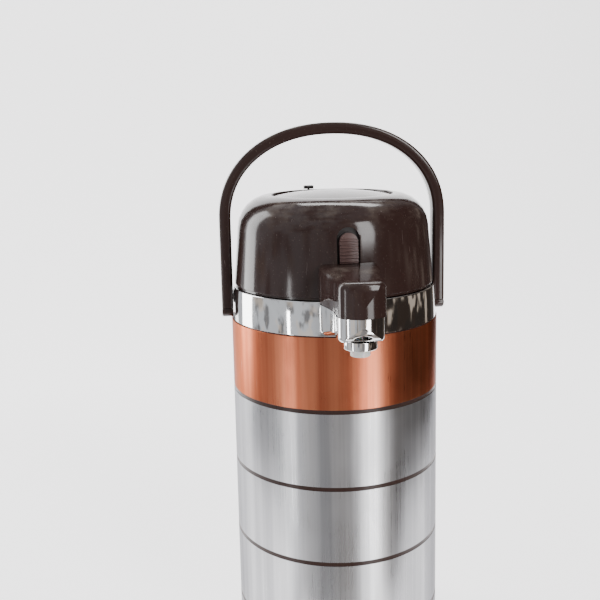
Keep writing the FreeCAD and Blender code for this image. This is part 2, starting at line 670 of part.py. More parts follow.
def handle_path():
    """The centre line of the handle's right half: up the arm and over to the middle."""
    thickness = HANDLE_OUT - HANDLE_IN
    half = HANDLE_IN + thickness / 2
    curve = Part.BSplineCurve()
    curve.interpolate(handle_curve(half, HANDLE_TOP - thickness / 2), InitialTangent=Z_AXIS,
                      FinalTangent=-X_AXIS)
    arm = Part.makeLine(point(half, 0, HANDLE_BOTTOM), point(half, 0, HANDLE_BEND_Z))
    return Part.Wire([arm, curve.toShape()])


def handle_section(corner):
    """The handle's section at the foot of the right arm, a rectangle with round corners."""
    deep = HANDLE_HALF_DEPTH
    half = (HANDLE_OUT - HANDLE_IN) / 2
    middle = HANDLE_IN + half
    cut = corner * (1 - math.sqrt(0.5))

    def at(x, y):
        return point(middle + x, y, HANDLE_BOTTOM)

    return outline(at, (half - corner, -deep),
                   [((half - cut, -deep + cut), (half, -deep + corner)), (half, deep - corner),
                    ((half - cut, deep - cut), (half - corner, deep)), (corner - half, deep),
                    ((cut - half, deep - cut), (-half, deep - corner)), (-half, corner - deep),
                    ((cut - half, cut - deep), (corner - half, -deep))])


def bail_solid():
    half = handle_path().makePipeShell([handle_section(2.2)], True, False)
    right, left = both_sides(half)
    return right.fuse(left).removeSplitter()


def arm_ends():
    """The rounded lower ends of the arms, seen from the side."""
    wire = outline(lambda y, z: point(-90.0, y, z), (-6.5, 300.0),
                   [(-6.5, 270.2), ((-4.85, 265.95), (-1.2, HANDLE_BOTTOM)), (1.2, HANDLE_BOTTOM),
                    ((4.85, 265.95), (6.5, 270.2)), (6.5, 420.0), (-6.5, 420.0)])
    return Part.Face(wire).extrude(point(180.0, 0, 0))


def pivot_bore():
    bore = rod(point(HANDLE_IN - 2, 0, HANDLE_PIVOT_Z), X_AXIS, PIVOT_R + RUNNING, 8.1)
    return Part.makeCompound(both_sides(bore))


def handle_bail():
    """The carrying handle without its end caps."""
    above = box((-100, -20, HANDLE_BOTTOM + 7.0), (100, 20, 420))
    return bail_solid().common(arm_ends()).common(above).cut(pivot_bore())


def handle_end_caps():
    below = box((-100, -20, 250), (100, 20, HANDLE_BOTTOM + 7.0))
    return bail_solid().common(arm_ends()).common(below).cut(pivot_bore())


MAKERS = (base_ring, base_plate, base_screws, flask_cushion, casing, outer_flask, inner_flask, neck_packing,
          shoulder_ring, chrome_collar, handle_bosses, handle_pins, handle_washers, spout_chin, nozzle_cup,
          nozzle_ring, nozzle_tip, delivery_pipe, dip_tube, pipe_grommet, hinge_bracket, hinge_pin, lid_shell,
          spout_hood, lid_underplate, lid_gasket, lid_screws, air_valve, bellows_base, lid_knuckle,
          latch_frame,
          push_plate, bellows_head, intake_pad, bellows, bellows_spring, latch_slider, latch_hook,
          latch_spring,
          lock_knob, lock_bolt, handle_bail, handle_end_caps)

os.makedirs("parts", exist_ok=True)
for maker in MAKERS:
    shape = maker()
    solids = shape.Solids
    print(f"{maker.__name__}: solids {len(solids)}, valid {shape.isValid()}, volume {shape.Volume:.1f}")
    if len(solids) == 1:
        shape = solids[0]
    else:
        shape = Part.makeCompound(solids)
    shape.exportStep(os.path.join("parts", maker.__name__ + ".step"))
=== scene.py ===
import bpy
import json
import math
from mathutils import Matrix, Vector

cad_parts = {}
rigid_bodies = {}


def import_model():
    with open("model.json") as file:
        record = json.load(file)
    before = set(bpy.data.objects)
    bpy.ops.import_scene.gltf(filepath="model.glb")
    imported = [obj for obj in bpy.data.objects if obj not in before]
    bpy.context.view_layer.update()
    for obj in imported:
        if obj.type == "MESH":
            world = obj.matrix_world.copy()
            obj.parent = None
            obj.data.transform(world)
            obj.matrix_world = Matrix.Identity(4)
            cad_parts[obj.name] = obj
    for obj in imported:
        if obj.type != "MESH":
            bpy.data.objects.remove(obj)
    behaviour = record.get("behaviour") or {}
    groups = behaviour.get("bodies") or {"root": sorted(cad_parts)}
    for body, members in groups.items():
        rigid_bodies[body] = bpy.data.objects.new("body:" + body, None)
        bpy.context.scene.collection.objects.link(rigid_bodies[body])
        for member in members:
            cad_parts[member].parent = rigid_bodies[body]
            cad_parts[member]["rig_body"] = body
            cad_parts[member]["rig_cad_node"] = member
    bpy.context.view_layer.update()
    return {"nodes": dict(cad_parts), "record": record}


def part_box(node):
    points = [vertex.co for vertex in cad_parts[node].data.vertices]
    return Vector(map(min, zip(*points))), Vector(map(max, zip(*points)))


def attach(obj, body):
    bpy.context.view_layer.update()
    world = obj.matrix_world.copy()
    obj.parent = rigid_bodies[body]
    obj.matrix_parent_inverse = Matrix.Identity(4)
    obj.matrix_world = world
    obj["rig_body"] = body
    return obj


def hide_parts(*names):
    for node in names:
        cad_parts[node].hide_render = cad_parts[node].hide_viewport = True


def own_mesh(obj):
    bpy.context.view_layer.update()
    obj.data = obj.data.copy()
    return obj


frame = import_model()
nodes = frame["nodes"]

MM = 0.001

# places read from the frame
CASING_LOW, CASING_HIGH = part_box("casing")
COLLAR_LOW, COLLAR_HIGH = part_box("chrome_collar")
LID_LOW, LID_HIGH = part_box("lid_shell")
PLATE_LOW, PLATE_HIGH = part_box("push_plate")
HOOD_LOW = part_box("spout_hood")[0]
CUP_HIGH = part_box("nozzle_cup")[1]
CHIN_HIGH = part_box("spout_chin")[1]
RING_LOW, RING_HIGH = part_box("nozzle_ring")
TIP_LOW, TIP_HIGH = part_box("nozzle_tip")
LATCH_LOW, LATCH_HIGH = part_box("latch_slider")
BAIL_LOW, BAIL_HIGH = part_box("handle_bail")
CAPS_LOW, CAPS_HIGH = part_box("handle_end_caps")
BASE_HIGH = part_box("base_ring")[1]
NOZZLE = (TIP_LOW + TIP_HIGH) / 2

# sizes the frame's boxes do not give
CASING_R = CASING_HIGH.x
CASING_WALL = 0.8 * MM
STRIPE_HALF = 1.5 * MM
STRIPE_DEPTH = 0.22 * MM
STRIPE_PITCH = 55.55 * MM
STRIPE_TOP = 210.8 * MM
STRIPES = [STRIPE_TOP - index * STRIPE_PITCH for index in range(4)]
COLLAR_LOW_R = 76.9 * MM
COLLAR_HIGH_R = 75.5 * MM
COLLAR_WALL = 2.5 * MM
LID_FOOT_R = LID_HIGH.x
LID_EDGE = (71.1 * MM, 331.7 * MM)
LID_DECK = (47.5 * MM, 354.4 * MM)
LID_CORNER_R = 24.7 * MM
LID_WALL = 2.5 * MM
WELL_R = 45.2 * MM
WELL_LOW = LID_LOW.z + 21.2 * MM
PLATE_R = 43.6 * MM
LATCH_POCKET_GAP = 1.6 * MM
LOCK_RADIUS = 50.0 * MM
LOCK_HALF_ANGLE = math.radians(16.9)
HANDLE_BEND = 336.8 * MM
HANDLE_POWER = 2.15
HANDLE_THICK = 8.6 * MM
HANDLE_CORNER = 2.2 * MM
CUP_BOW = 17.0 * MM
HOOD_BOW = 22.0 * MM
SPIN_STEPS = 144
ROUND_STEPS = 6


# modelling helpers

def deselect_all():
    for obj in bpy.context.selected_objects:
        obj.select_set(False)


def make_active(obj):
    deselect_all()
    obj.select_set(True)
    bpy.context.view_layer.objects.active = obj


def editing(obj):
    make_active(obj)
    bpy.ops.object.mode_set(mode="EDIT")
    bpy.ops.mesh.select_all(action="SELECT")


def object_mode():
    bpy.ops.object.mode_set(mode="OBJECT")


def freeze(obj):
    """Puts the object's place and turn into its mesh."""
    make_active(obj)
    bpy.ops.object.transform_apply(location=True, rotation=True, scale=True)


def tidy_mesh(obj, distance=1e-6):
    editing(obj)
    bpy.ops.mesh.remove_doubles(threshold=distance)
    bpy.ops.mesh.normals_make_consistent(inside=False)
    object_mode()


def smooth(obj, degrees=35):
    make_active(obj)
    bpy.ops.object.shade_smooth_by_angle(angle=math.radians(degrees))


def apply_modifier(obj, kind, **settings):
    make_active(obj)
    modifier = obj.modifiers.new(kind.lower(), kind)
    for name, value in settings.items():
        setattr(modifier, name, value)
    bpy.ops.object.modifier_apply(modifier=modifier.name)


def cut_away(obj, cutter):
    """Takes the cutter's shape out of the piece."""
    apply_modifier(obj, "BOOLEAN", operation="DIFFERENCE", solver="EXACT", object=cutter)
    bpy.data.objects.remove(cutter)


def keep_inside(obj, cutter):
    apply_modifier(obj, "BOOLEAN", operation="INTERSECT", solver="EXACT", object=cutter)
    bpy.data.objects.remove(cutter)


def join(name, pieces):
    make_active(pieces[0])
    for piece in pieces[1:]:
        piece.select_set(True)
    bpy.ops.object.join()
    pieces[0].name = name
    return pieces[0]


def rounded(corners, steps=ROUND_STEPS):
    """An outline whose corners are rounded: each corner is (across, up) or (across, up, radius)."""
    spots = []
    count = len(corners)
    for index, corner in enumerate(corners):
        here = Vector(corner[:2])
        radius = corner[2] if len(corner) > 2 else 0
        if not radius:
            spots.append(here)
            continue
        back = (Vector(corners[index - 1][:2]) - here).normalized()
        on = (Vector(corners[(index + 1) % count][:2]) - here).normalized()
        half_angle = back.angle(on) / 2
        reach = radius / math.tan(half_angle)
        centre = here + (back + on).normalized() * (radius / math.sin(half_angle))
        first = here + back * reach - centre
        last = here + on * reach - centre
        sweep = first.angle_signed(last)
        for step in range(steps + 1):
            turn = Matrix.Rotation(-sweep * step / steps, 2)
            spots.append(centre + turn @ first)
    return spots


def choose(obj, vertices):
    """Enters edit mode with only the marked vertices selected, and the edges and faces between them."""
    obj.data.polygons.foreach_set("select", [False] * len(obj.data.polygons))
    obj.data.edges.foreach_set("select", [False] * len(obj.data.edges))
    obj.data.vertices.foreach_set("select", vertices)
    make_active(obj)
    bpy.ops.object.mode_set(mode="EDIT")
    bpy.ops.mesh.select_mode(type="VERT")


def chain(name, spots, closed=True):
    """A line of edges through the spots, drawn by extruding one vertex."""
    deselect_all()
    bpy.ops.mesh.primitive_plane_add(size=MM, location=(0, 0, 0))
    obj = bpy.context.object
    obj.name = name
    bpy.ops.object.mode_set(mode="EDIT")
    bpy.ops.mesh.merge(type="CENTER")
    bpy.ops.transform.translate(value=spots[0])
    for before, after in zip(spots, spots[1:]):
        bpy.ops.mesh.extrude_region_move(TRANSFORM_OT_translate={"value": Vector(after) - Vector(before)})
    object_mode()
    if closed:
        count = len(obj.data.vertices)
        choose(obj, [index in (0, count - 1) for index in range(count)])
        bpy.ops.mesh.edge_face_add()
        object_mode()
    return obj


def lathe(name, corners, centre=(0.0, 0.0), steps=SPIN_STEPS):
    """A turned piece: a rounded outline in radius and height, spun about an upright axis."""
    closed = corners[0][0] > 0 or corners[-1][0] > 0
    spots = [Vector((centre[0] + r, centre[1], z)) for r, z in rounded(corners)]
    obj = chain(name, spots, closed)
    editing(obj)
    bpy.ops.mesh.spin(steps=steps, angle=math.tau, center=(centre[0], centre[1], 0), axis=(0, 0, 1))
    object_mode()
    tidy_mesh(obj)
    smooth(obj)
    return obj


def prism(name, corners, start, move):
    """A rounded outline filled and pushed along; start places (across, up) in space."""
    spots = [Vector(start(a, b)) for a, b in rounded(corners)]
    obj = chain(name, spots)
    editing(obj)
    bpy.ops.mesh.edge_face_add()
    bpy.ops.mesh.extrude_region_move(TRANSFORM_OT_translate={"value": Vector(move)})
    object_mode()
    tidy_mesh(obj)
    return obj


def block(name, low, high):
    """A box between two corners."""
    deselect_all()
    bpy.ops.mesh.primitive_cube_add(size=1)
    obj = bpy.context.object
    obj.name = name
    obj.scale = Vector(high) - Vector(low)
    obj.location = (Vector(high) + Vector(low)) / 2
    freeze(obj)
    return obj


def loft(name, rings):
    """A skin over rings of points, bridged one to the next."""
    loops = []
    for ring in rings:
        deselect_all()
        bpy.ops.mesh.primitive_circle_add(vertices=len(ring), radius=0.01)
        loop = bpy.context.object
        loop.data.vertices.foreach_set("co", [value for spot in ring for value in spot])
        loops.append(loop)
    obj = join(name, loops)
    count = len(rings[0])
    total = len(rings) * count
    for index in range(len(rings) - 1):
        first = index * count
        choose(obj, [first <= spot < first + 2 * count for spot in range(total)])
        bpy.ops.mesh.select_mode(type="EDGE")
        bpy.ops.mesh.bridge_edge_loops()
        object_mode()
    for first in (0, total - count):
        choose(obj, [first <= spot < first + count for spot in range(total)])
        bpy.ops.mesh.edge_face_add()
        object_mode()
    tidy_mesh(obj)
    return obj


# effects that several materials use

def new_group(name, inputs, outputs):
    group = bpy.data.node_groups.new(name, "ShaderNodeTree")
    for label, value in inputs:
        socket = group.interface.new_socket(label, in_out="INPUT", socket_type="NodeSocketFloat")
        socket.default_value = value
    for label in outputs:
        group.interface.new_socket(label, in_out="OUTPUT", socket_type="NodeSocketFloat")
    return group, group.nodes.new("NodeGroupInput"), group.nodes.new("NodeGroupOutput")


def node(tree, kind, **settings):
    made = tree.nodes.new(kind)
    for name, value in settings.items():
        setattr(made, name, value)
    return made


def maths(tree, operation, first, second=None, clamp=False):
    made = node(tree, "ShaderNodeMath", operation=operation, use_clamp=clamp)
    for socket, value in zip(made.inputs, (first, second)):
        if value is None:
            continue
        if isinstance(value, (int, float)):
            socket.default_value = value
        else:
            tree.links.new(value, socket)
    return made.outputs[0]


def between(tree, value, low, high):
    """A smooth step from 0 at low to 1 at high."""
    made = node(tree, "ShaderNodeMapRange", interpolation_type="SMOOTHSTEP")
    tree.links.new(value, made.inputs["Value"])
    made.inputs["From Min"].default_value = low
    made.inputs["From Max"].default_value = high
    return made.outputs["Result"]


def noise(tree, vector, scale, detail=4.0, roughness=0.5):
    made = node(tree, "ShaderNodeTexNoise")
    tree.links.new(vector, made.inputs["Vector"])
    made.inputs["Scale"].default_value = scale
    made.inputs["Detail"].default_value = detail
    made.inputs["Roughness"].default_value = roughness
    return made.outputs["Fac"]


def stretched(tree, vector, scale):
    made = node(tree, "ShaderNodeMapping")
    tree.links.new(vector, made.inputs["Vector"])
    made.inputs["Scale"].default_value = scale
    return made.outputs["Vector"]


def object_place(tree):
    return node(tree, "ShaderNodeTexCoord").outputs["Object"]


def make_scratches():
    """Thin marks that run mostly up and down; Amount sets how many show."""
    group, inside, outside = new_group("fine_scratches", [("Amount", 0.5), ("Size", 1.0)], ["Mask"])
    place = object_place(group)
    scaled = node(group, "ShaderNodeVectorMath", operation="SCALE")
    group.links.new(place, scaled.inputs[0])
    group.links.new(inside.outputs["Size"], scaled.inputs["Scale"])
    wander = node(group, "ShaderNodeVectorMath", operation="ADD")
    bend = node(group, "ShaderNodeVectorMath", operation="SCALE")
    bend.inputs["Scale"].default_value = 0.004
    curl = node(group, "ShaderNodeTexNoise")
    curl.inputs["Scale"].default_value = 30.0
    group.links.new(scaled.outputs[0], curl.inputs["Vector"])
    group.links.new(curl.outputs["Color"], bend.inputs[0])
    group.links.new(scaled.outputs[0], wander.inputs[0])
    group.links.new(bend.outputs[0], wander.inputs[1])
    lines = noise(group, stretched(group, wander.outputs[0], (900.0, 900.0, 28.0)), 1.0, 2.0)
    patches = noise(group, scaled.outputs[0], 22.0, 3.0)
    fine = between(group, lines, 0.70, 0.76)
    where = between(group,
                    maths(group, "ADD", patches, maths(group, "MULTIPLY", inside.outputs["Amount"], 0.2)),
                    0.55, 0.75)
    group.links.new(maths(group, "MULTIPLY", fine, where), outside.inputs["Mask"])
    return group


def make_dust():
    """Specks and a thin film, thicker where the surface faces up."""
    group, inside, outside = new_group("settled_dust", [("Amount", 0.5)], ["Mask"])
    place = object_place(group)
    normal = node(group, "ShaderNodeSeparateXYZ")
    group.links.new(node(group, "ShaderNodeNewGeometry").outputs["Normal"], normal.inputs[0])
    upward = between(group, normal.outputs["Z"], 0.05, 0.95)
    specks = between(group, noise(group, place, 900.0, 2.0), 0.66, 0.72)
    film = between(group, noise(group, place, 60.0, 5.0, 0.6), 0.42, 0.75)
    share = maths(group, "ADD", maths(group, "MULTIPLY", film, upward),
                  maths(group, "MULTIPLY", specks, 0.5))
    group.links.new(maths(group, "MULTIPLY", share, inside.outputs["Amount"], clamp=True),
                    outside.inputs["Mask"])
    return group


def make_smudges():
    """Broad soft patches where hands have touched."""
    group, inside, outside = new_group("hand_smudges", [("Low", 0.1), ("High", 0.2), ("Scale", 40.0)],
                                       ["Value"])
    made = node(group, "ShaderNodeTexNoise")
    group.links.new(object_place(group), made.inputs["Vector"])
    group.links.new(inside.outputs["Scale"], made.inputs["Scale"])
    made.inputs["Detail"].default_value = 5.0
    made.inputs["Distortion"].default_value = 0.6
    spread = node(group, "ShaderNodeMapRange")
    group.links.new(made.outputs["Fac"], spread.inputs["Value"])
    spread.inputs["From Min"].default_value = 0.3
    spread.inputs["From Max"].default_value = 0.7
    group.links.new(inside.outputs["Low"], spread.inputs["To Min"])
    group.links.new(inside.outputs["High"], spread.inputs["To Max"])
    group.links.new(spread.outputs["Result"], outside.inputs["Value"])
    return group


def make_upright_grain():
    """Fine brushed lines that run up a round body, even all the way round it."""
    group, inside, outside = new_group("upright_grain", [("Lines", 900.0), ("Length", 14.0)], ["Height"])
    parts = node(group, "ShaderNodeSeparateXYZ")
    group.links.new(object_place(group), parts.inputs[0])
    x, y, z = parts.outputs
    far = maths(group, "SQRT",
                maths(group, "ADD", maths(group, "MULTIPLY", x, x), maths(group, "MULTIPLY", y, y)))
    lines = maths(group, "DIVIDE", inside.outputs["Lines"], maths(group, "MAXIMUM", far, 0.001))
    reach = 0.0775
    around_x = maths(group, "MULTIPLY", maths(group, "MULTIPLY", x, lines), reach)
    around_y = maths(group, "MULTIPLY", maths(group, "MULTIPLY", y, lines), reach)
    along = maths(group, "MULTIPLY", z, inside.outputs["Length"])
    spot = node(group, "ShaderNodeCombineXYZ")
    for value, socket in zip((around_x, around_y, along), spot.inputs):
        group.links.new(value, socket)
    group.links.new(noise(group, spot.outputs[0], 1.0, 3.0, 0.6), outside.inputs["Height"])
    return group


SCRATCHES = make_scratches()
DUST = make_dust()
SMUDGES = make_smudges()
GRAIN = make_upright_grain()


# materials

def new_material(name, **settings):
    material = bpy.data.materials.new(name)
    material.use_nodes = True
    tree = material.node_tree
    shader = tree.nodes["Principled BSDF"]
    for label, value in settings.items():
        shader.inputs[label.replace("_", " ")].default_value = value
    return material, tree, shader


def effect(tree, group, **values):
    made = node(tree, "ShaderNodeGroup", node_tree=group)
    for label, value in values.items():
        made.inputs[label].default_value = value
    return made.outputs[0]


def blend_colours(tree, share, first, second):
    """A colour between two; each is a colour or a socket."""
    made = node(tree, "ShaderNodeMix", data_type="RGBA")
    tree.links.new(share, made.inputs["Factor"])
    for socket, value in ((made.inputs[6], first), (made.inputs[7], second)):
        if isinstance(value, tuple):
            socket.default_value = (*value, 1.0)
        else:
            tree.links.new(value, socket)
    return made.outputs[2]


def bump(tree, shader, height, strength, distance):
    made = node(tree, "ShaderNodeBump")
    made.inputs["Strength"].default_value = strength
    made.inputs["Distance"].default_value = distance
    tree.links.new(height, made.inputs["Height"])
    tree.links.new(made.outputs["Normal"], shader.inputs["Normal"])


def moulded(name, light, dark, low, high, dust=0.2, scratch=0.5, ripple=0.02, **settings):
    """Moulded plastic: slight colour drift, hand smudges, scratches, dust and a faint ripple."""
    material, tree, shader = new_material(name, **settings)
    place = object_place(tree)
    drift = noise(tree, place, 14.0, 3.0)
    marks = effect(tree, SCRATCHES, Amount=scratch, Size=1.0)
    settled = effect(tree, DUST, Amount=dust)
    base = blend_colours(tree, drift, dark, light)
    pale = tuple(min(1.0, value * 2.2 + 0.05) for value in light)
    worn = blend_colours(tree, maths(tree, "MULTIPLY", marks, 0.5), base, pale)
    dusty = blend_colours(tree, settled, worn, (0.42, 0.36, 0.30))
    tree.links.new(dusty, shader.inputs["Base Color"])
    gloss = effect(tree, SMUDGES, Low=low, High=high, Scale=38.0)
    rough = maths(tree, "ADD", gloss, maths(tree, "MULTIPLY", maths(tree, "ADD", marks, settled), 0.35),
                  clamp=True)
    tree.links.new(rough, shader.inputs["Roughness"])
    waves = noise(tree, place, 220.0, 2.0)
    height = maths(tree, "SUBTRACT", waves, maths(tree, "MULTIPLY", marks, 0.6))
    bump(tree, shader, height, 0.35, ripple * MM)
    return material


def band_masks(tree):
    """Masks by height on the casing: 1 in the copper band, and 1 on the dark lines."""
    parts = node(tree, "ShaderNodeSeparateXYZ")
    tree.links.new(object_place(tree), parts.inputs[0])
    z = parts.outputs["Z"]
    copper = maths(tree, "GREATER_THAN", z, STRIPE_TOP)
    lines = None
    for height in STRIPES:
        near = maths(tree, "LESS_THAN", maths(tree, "ABSOLUTE", maths(tree, "SUBTRACT", z, height)),
                     STRIPE_HALF)
        lines = near if lines is None else maths(tree, "MAXIMUM", lines, near)
    return copper, lines


def casing_metal():
    """Brushed metal in bands: copper lacquer above, silver below, dark lines between."""
    material, tree, shader = new_material("banded_casing_metal", Specular_Tint=(0.38, 0.38, 0.39, 1.0))
    copper, lines = band_masks(tree)
    grain = effect(tree, GRAIN, Lines=1500.0, Length=9.0)
    streaks = effect(tree, GRAIN, Lines=110.0, Length=2.5)
    fleck = between(tree, streaks, 0.3, 0.7)
    silver = blend_colours(tree, fleck, (0.40, 0.40, 0.415), (0.58, 0.58, 0.595))
    warm = blend_colours(tree, fleck, (0.45, 0.118, 0.058), (0.66, 0.215, 0.110))
    marks = effect(tree, SCRATCHES, Amount=0.35, Size=0.8)
    metal = blend_colours(tree, copper, silver, warm)
    scored = blend_colours(tree, maths(tree, "MULTIPLY", marks, 0.25), metal, (0.85, 0.84, 0.83))
    tree.links.new(blend_colours(tree, lines, scored, (0.040, 0.022, 0.018)), shader.inputs["Base Color"])
    tree.links.new(maths(tree, "SUBTRACT", 1.0, lines), shader.inputs["Metallic"])
    brushed = maths(tree, "ADD", maths(tree, "MULTIPLY", grain, 0.18), 0.20)
    hands = effect(tree, SMUDGES, Low=-0.02, High=0.06, Scale=24.0)
    tree.links.new(maths(tree, "ADD", brushed, hands, clamp=True), shader.inputs["Roughness"])
    bump(tree, shader, grain, 0.22, 0.03 * MM)
    return material


def mirror_chrome():
    """Bright chrome with wiping marks and a few fine scratches."""
    material, tree, shader = new_material("mirror_chrome", Metallic=1.0)
    marks = effect(tree, SCRATCHES, Amount=0.3, Size=1.2)
    film = effect(tree, SMUDGES, Low=0.0, High=1.0, Scale=55.0)
    tree.links.new(blend_colours(tree, film, (0.80, 0.79, 0.78), (0.90, 0.90, 0.90)),
                   shader.inputs["Base Color"])
    gloss = effect(tree, SMUDGES, Low=0.03, High=0.10, Scale=70.0)
    tree.links.new(maths(tree, "ADD", gloss, maths(tree, "MULTIPLY", marks, 0.2)),
                   shader.inputs["Roughness"])
    ripple = noise(tree, object_place(tree), 48.0, 1.0)
    bump(tree, shader, ripple, 0.25, 0.25 * MM)
    return material


def plain_steel():
    """Turned or drawn steel for pins, screws and springs."""
    material, tree, shader = new_material("drawn_steel", Metallic=1.0)
    fine = noise(tree, stretched(tree, object_place(tree), (2500.0, 2500.0, 400.0)), 1.0, 3.0)
    tree.links.new(blend_colours(tree, fine, (0.50, 0.50, 0.51), (0.68, 0.68, 0.70)),
                   shader.inputs["Base Color"])
    tree.links.new(effect(tree, SMUDGES, Low=0.22, High=0.36, Scale=60.0), shader.inputs["Roughness"])
    bump(tree, shader, fine, 0.2, 0.02 * MM)
    return material


def silvered_glass():
    """Silvered glass of the vacuum flask, a soft mirror under glass."""
    material, tree, shader = new_material("silvered_flask_glass", Metallic=0.9, Coat_Weight=1.0,
                                          Coat_Roughness=0.03)
    cloud = noise(tree, object_place(tree), 18.0, 5.0, 0.6)
    tree.links.new(blend_colours(tree, cloud, (0.62, 0.63, 0.66), (0.82, 0.83, 0.85)),
                   shader.inputs["Base Color"])
    tree.links.new(effect(tree, SMUDGES, Low=0.08, High=0.20, Scale=20.0), shader.inputs["Roughness"])
    bump(tree, shader, cloud, 0.2, 0.3 * MM)
    return material


MATERIALS = {
    "brown_plastic": moulded("dark_brown_moulding", (0.038, 0.0198, 0.0172), (0.026, 0.0136, 0.0118), 0.09,
                             0.17,
                             dust=0.20, scratch=0.75, Specular_IOR_Level=0.45),
    # Thumb ribs: a lighter, pinkish copy of the brown plastic, a painted highlight standing in for the
    # light caught on the ribs.
    "thumb_ribs": moulded("thumb_ribs_painted_highlight", (0.120, 0.066, 0.060), (0.080, 0.044, 0.040), 0.30, 0.42,
                          dust=0.25,
                          scratch=0.6),
    "dark_plastic": moulded("dark_inner_moulding", (0.035, 0.030, 0.029), (0.022, 0.019, 0.019), 0.34,
                            0.48, dust=0.1),
    "white_plastic": moulded("white_outlet_moulding", (0.84, 0.83, 0.80), (0.76, 0.75, 0.71), 0.24, 0.34,
                             dust=0.05,
                             scratch=0.2, Subsurface_Weight=0.15, Subsurface_Scale=0.002),
    "clear_plastic": moulded("milky_pipe_moulding", (0.80, 0.80, 0.77), (0.70, 0.69, 0.65), 0.22, 0.34,
                             dust=0.05,
                             scratch=0.3, Subsurface_Weight=0.3, Subsurface_Scale=0.003),
    "silicone": moulded("milky_silicone", (0.74, 0.73, 0.69), (0.64, 0.62, 0.58), 0.45, 0.6, dust=0.15,
                        Subsurface_Weight=0.2, Subsurface_Scale=0.002),
    "black_rubber": moulded("black_rubber", (0.035, 0.035, 0.035), (0.022, 0.022, 0.022), 0.6, 0.75,
                            dust=0.2),
    "casing_metal": casing_metal(),
    "chrome": mirror_chrome(),
    "steel": plain_steel(),
    "silvered_glass": silvered_glass(),
}
NODE_SLOT = {entry["node"]: entry["material_slot"] for entry in frame["record"]["subparts"]}


def paint(obj, slot):
    obj.data.materials.clear()
    obj.data.materials.append(MATERIALS[slot])


def fit(obj, *cad_nodes):
    """The piece takes the place of the CAD nodes, rides on their body and has their finish."""
    slot = NODE_SLOT[cad_nodes[0]]
    paint(obj, slot)
    for body, members in frame["record"]["behaviour"]["bodies"].items():
        if cad_nodes[0] in members:
            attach(obj, body)
    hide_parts(*cad_nodes)


# the pot's outside

def make_casing():
    """A thin tube with a shallow groove under each dark line and rolled ends."""
    outline = [(CASING_R - CASING_WALL, CASING_LOW.z), (CASING_R, CASING_LOW.z, 0.3 * MM)]
    for height in reversed(STRIPES):
        outline.append((CASING_R, height - STRIPE_HALF))
        outline.append((CASING_R - STRIPE_DEPTH, height - STRIPE_HALF + STRIPE_DEPTH))
        outline.append((CASING_R - STRIPE_DEPTH, height + STRIPE_HALF - STRIPE_DEPTH))
        outline.append((CASING_R, height + STRIPE_HALF))
    outline += [(CASING_R, CASING_HIGH.z, 0.35 * MM), (CASING_R - CASING_WALL, CASING_HIGH.z, 0.3 * MM)]
    fit(lathe("banded_casing", outline), "casing")


def make_collar():
    """The chrome ring, flat where the handle's arms pass and open behind the spout."""
    low, high = COLLAR_LOW.z, COLLAR_HIGH.z
    outline = [(COLLAR_LOW_R - COLLAR_WALL, low), (COLLAR_LOW_R, low, 0.5 * MM),
               (COLLAR_HIGH_R, high, 0.8 * MM),
               (73.4 * MM, high), (72.8 * MM, high - 0.5 * MM), (72.8 * MM, high - 2.3 * MM),
               (COLLAR_HIGH_R - COLLAR_WALL, high - 2.3 * MM)]
    collar = lathe("chrome_collar_ring", outline)
    window = block("window", (-12 * MM, -90 * MM, 269 * MM), (12 * MM, -60 * MM, 284 * MM))
    cut_away(collar, window)
    for side in (-1, 1):
        editing(collar)
        bpy.ops.mesh.bisect(plane_co=(side * COLLAR_HIGH.x, 0, 0), plane_no=(side, 0, 0), use_fill=True,
                            clear_outer=True)
        object_mode()
    smooth(collar, 30)
    fit(collar, "chrome_collar")


def make_base():
    """The foot, with a round bottom edge and a step that the bottom plate sits in."""
    outline = [(70.3 * MM, 0.0, 0.5 * MM), (CASING_R, 0.0, 2.2 * MM), (CASING_R, CASING_LOW.z, 0.3 * MM),
               (CASING_R - CASING_WALL, CASING_LOW.z), (CASING_R - CASING_WALL, BASE_HIGH.z),
               (73.5 * MM, BASE_HIGH.z),
               (73.5 * MM, 9 * MM), (62 * MM, 9 * MM), (62 * MM, 3.2 * MM), (70.3 * MM, 3.2 * MM)]
    fit(lathe("foot_ring", outline), "base_ring")


# the lid

def lid_outline():
    """The lid's section: leaning side, round shoulder, deck, and the well with its retaining lip."""
    wall = LID_WALL
    foot_z = LID_LOW.z
    groove = 1.3 * MM
    shoulder = (69.25 * MM, 353.43 * MM, LID_CORNER_R)
    inner_shoulder = (66.95 * MM, 350.9 * MM, LID_CORNER_R - wall)
    return [(LID_FOOT_R - groove, foot_z), (LID_FOOT_R - groove, foot_z + 1.5 * MM, 0.2 * MM),
            (LID_FOOT_R - 0.13 * MM, foot_z + 1.7 * MM, 0.5 * MM), shoulder,
            (WELL_R + 0.1 * MM, LID_HIGH.z, 0.9 * MM), (WELL_R, 343.0 * MM), (WELL_R - 1 * MM, 342.6 * MM),
            (WELL_R - 1 * MM, 341.0 * MM), (WELL_R, 341.0 * MM), (WELL_R, WELL_LOW),
            (LID_DECK[0], WELL_LOW),
            (LID_DECK[0], LID_DECK[1] - wall, 1 * MM), inner_shoulder, (LID_FOOT_R - wall, foot_z)]


def arch(name, half, low, high, back, front):
    """An upright slab with a round top, from back to front in forward distance."""
    corners = [(-half, low), (half, low), (half, high, half * 0.999), (-half, high, half * 0.999)]
    return prism(name, corners, lambda a, b: (a, -back, b), (0, back - front, 0))


def lock_slot():
    """A curved cutter for the slot that the lock knob's stem runs in."""
    half = 1.2 * MM
    steps = 12
    turns = [math.radians(90) + LOCK_HALF_ANGLE * (2 * index / steps - 1) for index in range(steps + 1)]
    outer = [((LOCK_RADIUS + half) * math.cos(turn),
              (LOCK_RADIUS + half) * math.sin(turn)) for turn in turns]
    inner = [((LOCK_RADIUS - half) * math.cos(turn), (LOCK_RADIUS - half) * math.sin(turn))
             for turn in reversed(turns)]
    return prism("lock_slot", outer + inner, lambda a, b: (a, b, 345 * MM), (0, 0, 15 * MM))


